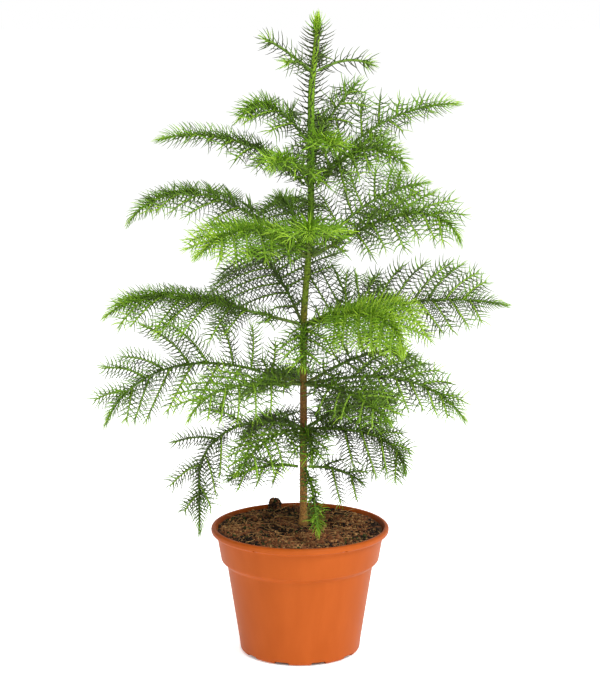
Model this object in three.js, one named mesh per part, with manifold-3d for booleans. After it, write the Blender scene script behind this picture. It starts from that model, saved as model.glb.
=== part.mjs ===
// A young Norfolk Island pine in a moulded plastic nursery pot, about 0.62 m tall.
// Millimetres, +Z up. The origin is the middle of the pot's underside, and the viewer stands at -Y.
import * as THREE from "three";
import { mergeVertices } from "three/addons/utils/BufferGeometryUtils.js";
import Module from "manifold-3d";

const wasm = await Module();
wasm.setup();

// Driving dimensions

const seatGap = 0.3; // between two pieces that rest on each other
const twigClearance = 0.6; // a twig that comes nearer than this to another piece is left off

const pot = {
  height: 125,
  rimRadius: 87.5,
  mouthRadius: 83.2,
  collarTopRadius: 81.8,
  collarBottomRadius: 77.9,
  bodyTopRadius: 71.9,
  baseRadius: 59.2,
  lipHeight: 6.5,
  lipRound: 1.8,
  collarHeight: 25.5,
  stepHeight: 7,
  edgeRound: 3.5,
  wall: 1.5,
  floor: 2,
  sides: 30,
  feet: 10,
  notchAngle: 14,
  notchHeight: 3,
  notchDepth: 10,
};

const soil = {
  edgeDrop: 3, // the soil's edge lies this far below the rim
  mound: 3, // and rises this far to the trunk
  seatRadius: 9,
  rings: 4,
  lumpHeight: 0.9,
  clodRadius: 6.8,
  clodAzimuth: 111,
  clodDistance: 72,
  clodLift: 6,
};

const trunk = {
  tipHeight: 616,
  footRadius: 5.2,
  flareHeight: 14,
  lowRadius: 3.7,
  highRadius: 3.1,
  tipRadius: 2,
  taperStart: 430,
  sides: 9,
  steps: 12,
  footOffset: 3.4, // the foot stands this far to the right of the pot's middle
  bendOffset: 7.2, // the slow bend carries the upper trunk further right
  bendFrom: 315,
  bendTo: 440,
  tipOffset: 6, // and the leader leans a little more
  tipFrom: 540,
  needles: 30,
  needlesFrom: 470,
  needleLength: 14,
  needleRadius: 0.75,
  needlePitch: 28, // degrees above level
  tipPitch: 62, // steeper by the end of the leader
  steepOver: 40,
  whorlLift: 4, // needles keep clear of each whorl of fronds, round a level this far above its height
  whorlClear: 9,
  flat: 0.97, // share of the radius at which a frond meets the faceted trunk
};

// Tiers of fronds from the lowest up. Each frond is [azimuth in degrees from +X, length, rise, droop,
// gather, roll, twig, lower]. It leaves the trunk at the angle rise and has turned down by the angle droop at
// its tip, later along its length the larger gather is. Roll lifts one side of it to the light, and
// its side twigs are as long as the share twig of it, less towards the tip by the tier's taper, which
// sets in at the share taperFrom of the frond's length. Lower is the share of that length which the
// twigs have on the side that roll turns down.
const tiers = [
  {
    height: 184,
    pairs: 2,
    bough: 0,
    taper: 0.5,
    taperFrom: 0.45,
    fronds: [
      [344, 62, 6, 50, 1.4, 30, 0.5, 1.3],
      [190, 74, 14, 48, 1, -20, 0.36, 1],
      [281, 88, -2, 70, 1, 0, 0.12, 1],
    ],
  },
  {
    height: 223,
    pairs: 4,
    bough: 0,
    taper: 0.62,
    taperFrom: 0.4,
    fronds: [
      [336, 122, 4, 104, 3, 26, 0.34, 1.4],
      [42, 124, 16, 32, 1.5, 20, 0.37, 1],
      [122, 116, 4, 46, 1.5, -16, 0.36, 1],
      [194, 185, 17, 200, 1.6, -40, 0.3, 0.84],
      [236, 114, 6, 46, 1.4, -6, 0.38, 1],
      [278, 66, 6, 58, 1.3, 0, 0.42, 1],
    ],
  },
  {
    height: 267,
    pairs: 5,
    bough: 0.16,
    taper: 0.55,
    taperFrom: 0.45,
    fronds: [
      [351, 168, 12, 72, 1.9, 30, 0.3, 0.74],
      [44, 176, 16, 56, 2, 30, 0.33, 0.9],
      [106, 160, 2, 44, 1.6, -8, 0.34, 1],
      [168, 228, 17, 89, 1.7, -58, 0.32, 0.84],
      [216, 140, 8, 74, 3, -20, 0.37, 0.9],
      [305, 138, 6, 40, 2, 16, 0.34, 0.8],
    ],
  },
  {
    height: 326,
    pairs: 5,
    bough: 0.16,
    taper: 0.6,
    taperFrom: 0.45,
    fronds: [
      [2, 196, 14, 28, 2, 62, 0.28, 0.8],
      [54, 164, 7, 16, 2, 44, 0.42, 0.7],
      [111, 178, 34, 46, 1.6, -16, 0.48, 0.9],
      [190, 196, 16, 62, 3.6, -8, 0.29, 1.15],
      [270, 70, -6, 56, 1.4, 0, 0.44, 1],
      [316, 144, 18, 118, 3.2, 20, 0.38, 0.9],
    ],
  },
  {
    height: 392,
    pairs: 4,
    bough: 0.18,
    taper: 0.55,
    taperFrom: 0.45,
    fronds: [
      [338, 170, 30, 112, 3.4, 32, 0.29, 0.9],
      [34, 158, 42, 44, 1.4, 36, 0.33, 0.9],
      [104, 150, 34, 60, 2, -8, 0.28, 1],
      [164, 208, 38, 100, 2.1, -10, 0.22, 0.9],
      [228, 162, 40, 76, 1.1, -16, 0.32, 0.9],
      [270, 122, 46, 76, 1.4, 0, 0.36, 1],
    ],
  },
  {
    height: 458,
    pairs: 4,
    bough: 0,
    taper: 0.8,
    taperFrom: 0.2,
    fronds: [
      [12, 168, 56, 58, 1.1, 60, 0.32, 0.8],
      [84, 136, 44, 56, 2, 0, 0.28, 1],
      [178, 158, 48, 66, 1.1, -8, 0.27, 1],
      [250, 116, 38, 66, 1.6, -10, 0.46, 1],
      [325, 122, 46, 100, 1.8, 26, 0.6, 1],
    ],
  },
  {
    height: 502,
    pairs: 2,
    bough: 0,
    taper: 0.6,
    taperFrom: 0.45,
    fronds: [
      [32, 76, 54, 14, 1.2, 10, 0.4, 1],
      [158, 85, 50, 112, 2.2, -10, 0.42, 1],
      [288, 72, 14, 34, 1.2, 0, 0.37, 1],
    ],
  },
  {
    height: 568,
    pairs: 0,
    bough: 0,
    taper: 0,
    taperFrom: 0,
    fronds: [
      [4, 57, 28, 62, 1.6, 0, 0, 1],
      [80, 52, 30, 40, 1.6, 0, 0, 1],
      [166, 56, 42, 22, 1.6, 0, 0, 1],
      [240, 50, 26, 44, 1.6, 0, 0, 1],
    ],
  },
];

const frond = {
  pathSteps: 40,
  hangAngle: -90, // no frond turns past this slope
  stemRadius: 1.3,
  stemTipRadius: 0.8,
  boughRadius: 1.6,
  boughSides: 5,
  boughSteps: 2,
  stations: 6,
  bareStations: 4,
};

const twig = {
  first: 0.27, // share of the frond's length where the side twigs begin
  last: 0.82,
  baseAngle: 76,
  tipAngle: 44,
  sag: 0.22,
  hang: 0.45, // the sag on the side that roll turns down
  sweep: 0.16,
  radius: 0.62,
  tipRadius: 0.5,
  stations: 3,
  bareStations: 1,
  stagger: 0.35,
  scatter: 0.12, // seeded scatter of each twig's place and length
  turn: 7, // and of its angle, in degrees
  spacing: 30, // a short frond has only as many pairs of twigs as fit at this distance
  taperRun: 0.55, // twigs shorten over this share of the frond's length
  shortest: 0.22, // and by this share of their own length near the trunk
};

const needle = { length: 9.5, lean: 0.8, lift: 0.25 };

const colours = {
  pot: [0xc9602a, 0.45],
  soil: [0x3b281b, 0.95],
  bark: [0x6a5a2e, 0.8],
  bough: [0x3f6b1e, 0.7],
  needles: [0x4c8f24, 0.6],
};

// Small helpers

const radians = THREE.MathUtils.degToRad;
const blend = THREE.MathUtils.lerp;
const ease = THREE.MathUtils.smoothstep;

// A repeatable number from -1 to 1 for each set of whole numbers.
function jitter(...keys) {
  const mixed = keys.reduce((sum, key, i) => sum + (key + 1) * (12.9898 + 65.233 * i), 0);
  const wave = Math.sin(mixed) * 43758.5453;
  return 2 * (wave - Math.floor(wave)) - 1;
}

function solidOf(geometry) {
  const bare = new THREE.BufferGeometry();
  bare.setAttribute("position", geometry.getAttribute("position").clone());
  bare.setIndex(geometry.getIndex());
  const merged = mergeVertices(bare, 1e-4);
  return new wasm.Manifold(
    new wasm.Mesh({
      numProp: 3,
      vertProperties: merged.getAttribute("position").array,
      triVerts: new Uint32Array(merged.getIndex().array),
    }),
  );
}

function geometryOf(solid) {
  const mesh = solid.getMesh();
  const geometry = new THREE.BufferGeometry();
  geometry.setAttribute("position", new THREE.BufferAttribute(mesh.vertProperties, 3));
  geometry.setIndex(new THREE.BufferAttribute(mesh.triVerts, 1));
  geometry.computeVertexNormals();
  return geometry;
}

// A cylinder bent along a path, with its radius given along the way.
function limb(frameAt, radiusAt, sides, steps) {
  const geometry = new THREE.CylinderGeometry(1, 1, 1, sides, steps);
  const place = geometry.getAttribute("position");
  for (let i = 0; i < place.count; i++) {
    const t = place.getY(i) + 0.5;
    const { point, side, up } = frameAt(t);
    const radius = radiusAt(t);
    const moved = point
      .clone()
      .addScaledVector(side, place.getZ(i) * radius)
      .addScaledVector(up, place.getX(i) * radius);
    place.setXYZ(i, moved.x, moved.y, moved.z);
  }
  return solidOf(geometry);
}

// A three-sided twig along a path, with a pair of needle teeth at each station past its bare root.
function toothedTwig(frameAt, radiusAt, stations, bareStations) {
  const points = [];
  const faces = [];
  const add = (origin, offset) => points.push(origin.clone().add(offset)) - 1;
  const across = ({ ahead, side, up }, a, s, u) =>
    new THREE.Vector3().addScaledVector(ahead, a).addScaledVector(side, s).addScaledVector(up, u);
  const rings = [];
  for (let j = 0; j <= stations; j++) {
    const t = j / (stations + 1);
    const frame = frameAt(t);
    const r = radiusAt(t);
    rings.push([
      add(frame.point, across(frame, 0, 0, r)),
      add(frame.point, across(frame, 0, r, -r / 2)),
      add(frame.point, across(frame, 0, -r, -r / 2)),
    ]);
  }
  const end = frameAt(1);
  const tip = add(end.point, new THREE.Vector3());
  for (let j = 0; j < stations; j++) {
    const [ridge, rimLeft, rimRight] = rings[j];
    const [ridgeNext, leftNext, rightNext] = rings[j + 1];
    faces.push([rimLeft, leftNext, rimRight], [leftNext, rightNext, rimRight]);
    if (j < bareStations) {
      faces.push([ridge, ridgeNext, rimLeft], [ridgeNext, leftNext, rimLeft]);
      faces.push([ridge, rimRight, ridgeNext], [ridgeNext, rimRight, rightNext]);
      continue;
    }
    const frame = frameAt((j + 0.5) / (stations + 1));
    const ahead = needle.length * needle.lean;
    const lift = needle.length * needle.lift;
    const left = add(frame.point, across(frame, ahead, needle.length, lift));
    const right = add(frame.point, across(frame, ahead, -needle.length, lift));
    faces.push([ridge, left, rimLeft], [ridge, ridgeNext, left], [ridgeNext, leftNext, left]);
    faces.push([rimLeft, left, leftNext], [ridge, rimRight, right], [ridge, right, ridgeNext]);
    faces.push([ridgeNext, right, rightNext], [rimRight, rightNext, right]);
  }
  const [ridge, rimLeft, rimRight] = rings[stations];
  faces.push([ridge, tip, rimLeft], [ridge, rimRight, tip], [rimLeft, tip, rimRight], rings[0]);
  const geometry = new THREE.BufferGeometry().setFromPoints(points);
  geometry.setIndex(faces.flat());
  return solidOf(geometry);
}

// The pot: a turned shell with drain notches cut between its feet

const lipBottom = pot.height - pot.lipHeight;
const stepTop = lipBottom - pot.collarHeight;
const stepBottom = stepTop - pot.stepHeight;

function innerRadiusAt(z) {
  if (z < stepBottom) return blend(pot.baseRadius, pot.bodyTopRadius, z / stepBottom) - pot.wall;
  if (z < stepTop) {
    const share = (z - stepBottom) / pot.stepHeight;
    return blend(pot.bodyTopRadius, pot.collarBottomRadius, share) - pot.wall;
  }
  if (z > lipBottom) {
    const share = (z - lipBottom) / pot.lipHeight;
    return blend(pot.collarTopRadius - pot.wall, pot.mouthRadius, share);
  }
  return blend(pot.collarBottomRadius, pot.collarTopRadius, (z - stepTop) / pot.collarHeight) - pot.wall;
}

function makePot() {
  const outside = [
    [0, 0],
    [pot.baseRadius - pot.edgeRound, 0],
    [pot.baseRadius - pot.edgeRound * 0.3, pot.edgeRound * 0.3],
    [pot.baseRadius + 0.3, pot.edgeRound],
    [pot.bodyTopRadius, stepBottom],
    [pot.collarBottomRadius, stepTop],
    [pot.collarTopRadius, lipBottom],
    [pot.rimRadius - pot.lipRound, lipBottom],
    [pot.rimRadius, lipBottom + pot.lipRound],
    [pot.rimRadius, pot.height - pot.lipRound],
    [pot.rimRadius - pot.lipRound, pot.height],
    [pot.mouthRadius, pot.height - 0.6],
  ];
  const inside = [lipBottom, stepTop, stepBottom, pot.floor].map((z) => [innerRadiusAt(z), z]);
  const profile = [...outside, ...inside, [0, pot.floor]].map(([r, z]) => new THREE.Vector2(r, z));
  const shell = new THREE.LatheGeometry(profile, pot.sides).rotateX(Math.PI / 2);
  let made = solidOf(shell);
  const notchWidth = 2 * pot.baseRadius * Math.sin(radians(pot.notchAngle / 2));
  for (let i = 0; i < pot.feet; i++) {
    const notch = new THREE.BoxGeometry(pot.notchDepth, notchWidth, 2 * pot.notchHeight);
    notch.translate(pot.baseRadius - pot.notchDepth / 2 + 2, 0, 0);
    notch.rotateZ(radians(((i + 0.5) * 360) / pot.feet - 90));
    made = made.subtract(solidOf(notch));
  }
  return made;
}

// The soil: a plug that fills the pot, mounded to the trunk, with one clod behind

const soilEdge = pot.height - soil.edgeDrop;
const soilTop = soilEdge + soil.mound;

function makeSoil() {
  const edgeRadius = innerRadiusAt(soilEdge) - seatGap;
  const wallHeights = [pot.floor + seatGap, stepBottom, stepTop, lipBottom, soilEdge];
  const wall = wallHeights.map((z) => [innerRadiusAt(z) - seatGap - 0.3, z]);
  const top = [];
  for (let i = 1; i <= soil.rings; i++) {
    const share = i / soil.rings;
    top.push([blend(edgeRadius, soil.seatRadius, share), blend(soilEdge, soilTop, ease(share, -0.3, 1))]);
  }
  const outline = [[0, pot.floor + seatGap], ...wall, ...top, [0, soilTop]];
  const profile = outline.map(([r, z]) => new THREE.Vector2(r, z));
  const plug = new THREE.LatheGeometry(profile, pot.sides).rotateX(Math.PI / 2);
  const place = plug.getAttribute("position");
  for (let i = 0; i < place.count; i++) {
    const radius = Math.hypot(place.getX(i), place.getY(i));
    const onTop = place.getZ(i) > soilEdge + 0.01 && radius > soil.seatRadius + 1;
    const spot = [Math.round(place.getX(i)), Math.round(place.getY(i))];
    if (onTop) place.setZ(i, place.getZ(i) + soil.lumpHeight * jitter(...spot));
  }
  const clod = new THREE.IcosahedronGeometry(soil.clodRadius, 1);
  const azimuth = radians(soil.clodAzimuth);
  const away = [Math.cos(azimuth), Math.sin(azimuth)].map((share) => share * soil.clodDistance);
  clod.translate(...away, soilEdge + soil.clodLift);
  return solidOf(plug).add(solidOf(clod));
}

// The trunk: whole from its flat foot on the soil to the leader's tip, with needles fused to the leader

const trunkFoot = soilTop + seatGap;

function trunkCentre(z) {
  const bend = trunk.bendOffset * ease(z, trunk.bendFrom, trunk.bendTo);
  const lean = trunk.tipOffset * ease(z, trunk.tipFrom, trunk.tipHeight);
  return new THREE.Vector3(trunk.footOffset + bend + lean, 0, z);
}

function trunkRadius(z) {
  const spread = trunk.footRadius - trunk.lowRadius;
  const flare = spread * (1 - ease(z, trunkFoot, trunkFoot + trunk.flareHeight));
  const low = blend(trunk.lowRadius, trunk.highRadius, ease(z, trunkFoot, trunk.taperStart));
  const narrowing = Math.max(0, (z - trunk.taperStart) / (trunk.tipHeight - trunk.taperStart));
  return blend(low, trunk.tipRadius, narrowing ** 1.4) + flare;
}

function makeTrunk() {
  const heightAt = (t) => blend(trunkFoot, trunk.tipHeight, t ** 1.25);
  const frameAt = (t) => ({
    point: trunkCentre(heightAt(t)),
    side: new THREE.Vector3(0, -1, 0),
    up: new THREE.Vector3(1, 0, 0),
  });
  let made = limb(frameAt, (t) => trunkRadius(heightAt(t)), trunk.sides, trunk.steps);
  const goldenAngle = 137.5;
  for (let i = 0; i < trunk.needles; i++) {
    const z = blend(trunk.needlesFrom, trunk.tipHeight - 1, i / (trunk.needles - 1));
    const nearTier = tiers.some((tier) => Math.abs(tier.height + trunk.whorlLift - z) < trunk.whorlClear);
    if (nearTier) continue;
    const nearTip = ease(z, trunk.tipHeight - trunk.steepOver, trunk.tipHeight);
    const pitch = radians(blend(trunk.needlePitch, trunk.tipPitch, nearTip));
    const cone = new THREE.ConeGeometry(trunk.needleRadius, trunk.needleLength, 3, 1);
    cone.translate(0, trunk.needleLength / 2, 0);
    cone.rotateZ(pitch - Math.PI / 2).rotateX(Math.PI / 2).rotateZ(radians(i * goldenAngle));
    const root = trunkCentre(z);
    cone.translate(root.x, root.y, root.z);
    made = made.add(solidOf(cone));
  }
  return made;
}

// The fronds: each grows from the trunk along a path that rises and then droops

// Frames along a frond: point, direction ahead, the side its left twigs take, and its upper side.
function frondFrames(tier, [azimuthDegrees, length, rise, droop, gather, rollDegrees]) {
  const azimuth = radians(azimuthDegrees);
  const outward = new THREE.Vector3(Math.cos(azimuth), Math.sin(azimuth), 0);
  const level = new THREE.Vector3(-Math.sin(azimuth), Math.cos(azimuth), 0);
  const roll = radians(rollDegrees);
  const rootRadius = tier.bough > 0 ? frond.boughRadius : frond.stemRadius;
  const tilted = rootRadius * Math.abs(Math.sin(radians(rise)));
  const start = trunk.flat * trunkRadius(tier.height) + seatGap + tilted;
  const point = trunkCentre(tier.height).addScaledVector(outward, start);
  const frames = [];
  for (let i = 0; i <= frond.pathSteps; i++) {
    const s = i / frond.pathSteps;
    const slope = radians(Math.max(frond.hangAngle, rise - droop * s ** gather));
    const ahead = outward.clone().multiplyScalar(Math.cos(slope));
    ahead.z = Math.sin(slope);
    const flatUp = ahead.clone().cross(level);
    const side = level.clone().multiplyScalar(Math.cos(roll)).addScaledVector(flatUp, Math.sin(roll));
    const up = ahead.clone().cross(side);
    frames.push({ point: point.clone(), ahead, side, up });
    point.addScaledVector(ahead, length / frond.pathSteps);
  }
  return frames;
}

// The frame at any share of a frond's length, between the two nearest of its frames.
function frameBetween(frames, s) {
  const place = Math.min(s, 0.9999) * frond.pathSteps;
  const low = frames[Math.floor(place)];
  const high = frames[Math.floor(place) + 1];
  const share = place - Math.floor(place);
  return {
    point: low.point.clone().lerp(high.point, share),
    ahead: low.ahead.clone().lerp(high.ahead, share).normalize(),
    side: low.side.clone().lerp(high.side, share).normalize(),
    up: low.up.clone().lerp(high.up, share).normalize(),
  };
}

function twigLengthAt(s, { taper, taperFrom }) {
  return 1 - taper * ease(s, taperFrom, taperFrom + twig.taperRun) - twig.shortest * (1 - ease(s, 0.15, 0.5));
}

// The middle of a stem at a share of its frond's length, on the straight run between two of its stations.
function stemMiddle({ frames, share, stations }, s) {
  const place = ((s - share) / (1 - share)) * (stations + 1);
  const low = Math.min(Math.floor(place), stations);
  const station = (j) => frameBetween(frames, blend(share, 1, j / (stations + 1))).point;
  return station(low).lerp(station(low + 1), place - low);
}

// Frames along one side twig, which leaves the frond's stem and sags under its own weight.
function twigFrames(stem, s, hand, length, turn, sag) {
  const root = frameBetween(stem.frames, s);
  root.point = stemMiddle(stem, s);
  const angle = radians(blend(twig.baseAngle, twig.tipAngle, s) + turn);
  const out = root.ahead.clone().multiplyScalar(Math.cos(angle));
  out.addScaledVector(root.side, hand * Math.sin(angle));
  const bend = root.ahead.clone().multiplyScalar(twig.sweep);
  bend.z -= sag;
  const reach = length / out.clone().add(bend).length();
  return (t) => {
    const point = root.point.clone().addScaledVector(out, reach * t);
    point.addScaledVector(bend, reach * t * t);
    const ahead = out.clone().addScaledVector(bend, 2 * t).normalize();
    const side = root.up.clone().cross(ahead).normalize();
    return { point, ahead, side, up: ahead.clone().cross(side) };
  };
}

// Building: boughs and stems first, then each twig that stays clear of every other piece

const pieces = new Map();

function makeBough(frames, share) {
  const frameAt = (t) => frameBetween(frames, t * share);
  const radiusAt = (t) => blend(frond.boughRadius, frond.stemRadius, t);
  return limb(frameAt, radiusAt, frond.boughSides, frond.boughSteps);
}

function makeStem({ frames, share, stations, bareStations }) {
  const frameAt = (t) => frameBetween(frames, blend(share, 1, t));
  const radiusAt = (t) => blend(frond.stemRadius, frond.stemTipRadius, t);
  return toothedTwig(frameAt, radiusAt, stations, bareStations);
}

function isClear(candidate, ownName) {
  const box = candidate.boundingBox();
  for (const [name, { solid, reach }] of pieces) {
    if (name === ownName) continue;
    const apart = [0, 1, 2].some(
      (k) => box.min[k] > reach.max[k] + twigClearance || box.max[k] < reach.min[k] - twigClearance,
    );
    if (!apart && candidate.minGap(solid, twigClearance) < twigClearance) return false;
  }
  return true;
}

function place(name, solid, finish) {
  pieces.set(name, { solid, finish, reach: solid.boundingBox() });
}

place("pot", makePot(), "pot");
place("soil", makeSoil(), "soil");
place("trunk", makeTrunk(), "bark");

const grown = [];
tiers.forEach((tier, tierIndex) => {
  tier.fronds.forEach((shape, frondIndex) => {
    const frames = frondFrames(tier, shape);
    const label = `${tierIndex + 1}_${frondIndex + 1}`;
    const share = tier.bough > 0 ? tier.bough + seatGap / shape[1] : 0;
    const bareStations = tier.pairs > 0 ? frond.bareStations : 1;
    const stem = { frames, share, stations: frond.stations, bareStations };
    if (tier.bough > 0) place(`bough_${label}`, makeBough(frames, tier.bough), "bough");
    place(`frond_${label}`, makeStem(stem), "needles");
    const longest = shape[1] * shape[6];
    const keys = [tierIndex, frondIndex];
    const pairs = Math.min(tier.pairs, Math.round(shape[1] / twig.spacing));
    const [roll, , lower] = shape.slice(5);
    grown.push({ name: `frond_${label}`, stem, tier, pairs, longest, roll, lower, keys });
  });
});

for (const { name, stem, tier, pairs, longest, roll, lower, keys } of grown) {
  let mass = pieces.get(name).solid;
  for (let i = 0; i < pairs; i++) {
    for (const hand of [1, -1]) {
      const step = (twig.last - twig.first) / Math.max(1, pairs - 0.5);
      const stagger = hand > 0 ? 0 : twig.stagger;
      const s = twig.first + step * (i + stagger + twig.scatter * jitter(...keys, i, hand));
      const isLow = hand * roll < 0;
      const longHere = longest * twigLengthAt(s, tier) * (isLow ? lower : 1);
      const twigLength = longHere * (1 + twig.scatter * jitter(...keys, i, hand, 7));
      const turn = twig.turn * jitter(...keys, i, hand, 3);
      const frameAt = twigFrames(stem, s, hand, twigLength, turn, isLow ? twig.hang : twig.sag);
      const radiusAt = (t) => blend(twig.radius, twig.tipRadius, t);
      const made = toothedTwig(frameAt, radiusAt, twig.stations, twig.bareStations);
      if (isClear(made, name)) mass = mass.add(made);
    }
  }
  place(name, mass, "needles");
}

const plant = new THREE.Group();
plant.name = "potted_norfolk_island_pine";
for (const [name, { solid, finish }] of pieces) {
  const [color, roughness] = colours[finish];
  const material = new THREE.MeshStandardMaterial({ name: finish, color, roughness, metalness: 0 });
  const mesh = new THREE.Mesh(geometryOf(solid), material);
  mesh.name = name;
  plant.add(mesh);
}

export default plant;
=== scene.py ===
import math

import bpy
import numpy as np
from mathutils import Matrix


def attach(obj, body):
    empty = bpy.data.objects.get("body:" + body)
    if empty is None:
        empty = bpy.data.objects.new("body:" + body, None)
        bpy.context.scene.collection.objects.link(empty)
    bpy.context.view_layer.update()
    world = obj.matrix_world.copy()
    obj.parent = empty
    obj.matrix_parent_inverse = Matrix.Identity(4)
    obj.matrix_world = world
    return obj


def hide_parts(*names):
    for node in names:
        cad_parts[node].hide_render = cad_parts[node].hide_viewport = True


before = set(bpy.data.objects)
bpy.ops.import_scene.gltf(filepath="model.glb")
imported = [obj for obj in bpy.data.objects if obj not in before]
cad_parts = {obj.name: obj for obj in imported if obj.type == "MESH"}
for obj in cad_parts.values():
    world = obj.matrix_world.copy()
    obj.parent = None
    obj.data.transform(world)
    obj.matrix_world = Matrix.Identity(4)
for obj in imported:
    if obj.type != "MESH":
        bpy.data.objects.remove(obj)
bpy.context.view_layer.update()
nodeNames = sorted(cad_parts)
mm = 0.001
hashScale = 43758.5453  # spreads a sine into a repeatable random number


# small helpers

def linearColour(hexText, share=1.0):
    parts = [int(hexText[i:i + 2], 16) / 255 for i in (1, 3, 5)]
    linear = [p / 12.92 if p <= 0.04045 else ((p + 0.055) / 1.055) ** 2.4 for p in parts]
    return tuple(part * share for part in linear) + (1.0,)


def addNode(tree, kind, settings=None, links=None):
    # settings go to a ramp's stops, to properties or, by socket, to inputs; links join an input to an output
    node = tree.nodes.new(kind)
    for key, value in (settings or {}).items():
        if key == "stops":
            elements = node.color_ramp.elements
            elements[0].position, elements[1].position = value[0][0], value[-1][0]
            for spot, *_ in value[1:-1]:
                elements.new(spot)
            for element, (_, *tint) in zip(elements, value):
                element.color = linearColour(*tint)
        elif isinstance(key, str) and hasattr(node, key):
            setattr(node, key, value)
        else:
            node.inputs[key].default_value = value
    for key, source in (links or {}).items():
        tree.links.new(source, node.inputs[key])
    return node


def newMaterial(name, values):
    # the values are constants on the shader's own sockets
    material = bpy.data.materials.new(name)
    material.use_nodes = True
    tree = material.node_tree
    shader = tree.nodes["Principled BSDF"]
    for key, value in values.items():
        shader.inputs[key].default_value = value
    return material, tree, shader


def patterned(name, values, pattern, grain=None):
    # a noise pattern coloured by its tints, and a finer grain that only roughens; sizes in millimetres
    material, tree, shader = newMaterial(name, values)
    place = addNode(tree, "ShaderNodeTexCoord").outputs["Object"]
    stretch = addNode(tree, "ShaderNodeMapping", {"Scale": pattern.get("stretch", (1, 1, 1))}, {
        "Vector": place})
    noise = addNode(tree, "ShaderNodeTexNoise", {
        "Scale": 1 / (pattern["size"] * mm), "Detail": pattern["detail"], "Roughness": pattern["uneven"]}, {
        "Vector": stretch.outputs[0]})
    colour = addNode(tree, "ShaderNodeValToRGB", {"stops": pattern["tints"]}, {"Fac": noise.outputs["Fac"]})
    tree.links.new(colour.outputs["Color"], shader.inputs["Base Color"])
    if grain:
        fine = addNode(tree, "ShaderNodeTexNoise", {
            "Scale": 1 / (grain["size"] * mm), "Detail": grain["detail"]}, {"Vector": place})
        bump = addNode(tree, "ShaderNodeBump", {
            "Strength": grain["strength"], "Distance": grain["depth"] * mm}, {"Height": fine.outputs["Fac"]})
        tree.links.new(bump.outputs[0], shader.inputs["Normal"])
    return material


def linkPiece(name, mesh):
    piece = bpy.data.objects.new(name, mesh)
    bpy.context.scene.collection.objects.link(piece)
    return piece


def smoothFaces(mesh):
    mesh.polygons.foreach_set("use_smooth", np.ones(len(mesh.polygons), bool))


def meshPiece(name, points, faces, material, smooth=True):
    mesh = bpy.data.meshes.new(name)
    points = np.asarray(points, np.float32)
    faces = np.asarray(faces, np.int32)
    sides = faces.shape[1]
    mesh.vertices.add(len(points))
    mesh.vertices.foreach_set("co", points.ravel())
    mesh.loops.add(faces.size)
    mesh.loops.foreach_set("vertex_index", faces.ravel())
    mesh.polygons.add(len(faces))
    mesh.polygons.foreach_set("loop_start", np.arange(0, faces.size, sides, dtype=np.int32))
    mesh.update(calc_edges=True)
    mesh.validate()
    if smooth:
        smoothFaces(mesh)
    if material:
        mesh.materials.append(material)
    return linkPiece(name, mesh)


def turnedPiece(name, points, quads, triangles, material):
    # a turned body: quads between its rings and triangles at its poles
    mesh = bpy.data.meshes.new(name)
    mesh.from_pydata(points.tolist(), [], quads.tolist() + triangles.tolist())
    mesh.materials.append(material)
    smoothFaces(mesh)
    return linkPiece(name, mesh)


def templatePiece(name, points, faces, smooth):
    # a small shape to be copied, taken out at the end
    piece = meshPiece(name, points, faces, None, smooth)
    piece.hide_render = True
    return piece


def settle(piece, slot, *nodes):
    # a finished piece rides the one body, and stands for the nodes that it replaces
    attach(piece, "root")
    if nodes:
        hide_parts(*nodes)


def bakeNodes(piece, tree, values):
    # runs a geometry node tree on a piece and keeps the result as a plain mesh
    modifier = piece.modifiers.new(tree.name, "NODES")
    modifier.node_group = tree
    for item in tree.interface.items_tree:
        if item.item_type == "SOCKET" and item.in_out == "INPUT" and item.name in values:
            modifier[item.identifier] = values[item.name]
    bpy.context.view_layer.update()
    graph = bpy.context.evaluated_depsgraph_get()
    mesh = bpy.data.meshes.new_from_object(piece.evaluated_get(graph))
    piece.modifiers.remove(modifier)
    old = piece.data
    piece.data = mesh
    mesh.name = piece.name
    bpy.data.meshes.remove(old)
    return piece


def newNodeTree(name, inputs):
    tree = bpy.data.node_groups.new(name, "GeometryNodeTree")
    tree.interface.new_socket("Geometry", in_out="INPUT", socket_type="NodeSocketGeometry")
    for label, kind in inputs:
        tree.interface.new_socket(label, in_out="INPUT", socket_type=kind)
    tree.interface.new_socket("Geometry", in_out="OUTPUT", socket_type="NodeSocketGeometry")
    return tree, tree.nodes.new("NodeGroupInput"), tree.nodes.new("NodeGroupOutput")


def endTree(tree, given, result, geometry):
    # every tree ends in real copies with their material, because the export keeps no instances
    real = addNode(tree, "GeometryNodeRealizeInstances", links={"Geometry": geometry})
    painted = addNode(tree, "GeometryNodeSetMaterial", links={
        "Geometry": real.outputs[0], "Material": given.outputs["Material"]})
    tree.links.new(painted.outputs[0], result.inputs["Geometry"])
    return tree


def jitter(*keys):
    # a repeatable number from -1 to 1 for each set of whole numbers
    mixed = sum((key + 1) * (12.9898 + 65.233 * i) for i, key in enumerate(keys))
    wave = math.sin(mixed) * hashScale
    return 2 * (wave - math.floor(wave)) - 1


def blend(a, b, t):
    return (1 - t) * a + t * b


def ease(x, low, high):
    t = np.clip((x - low) / (high - low), 0, 1)
    return t * t * (3 - 2 * t)


def unit(v):
    return v / np.maximum(np.linalg.norm(v, axis=-1, keepdims=True), 1e-9)


def circle(count):
    return np.arange(count) * 2 * math.pi / count


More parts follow.
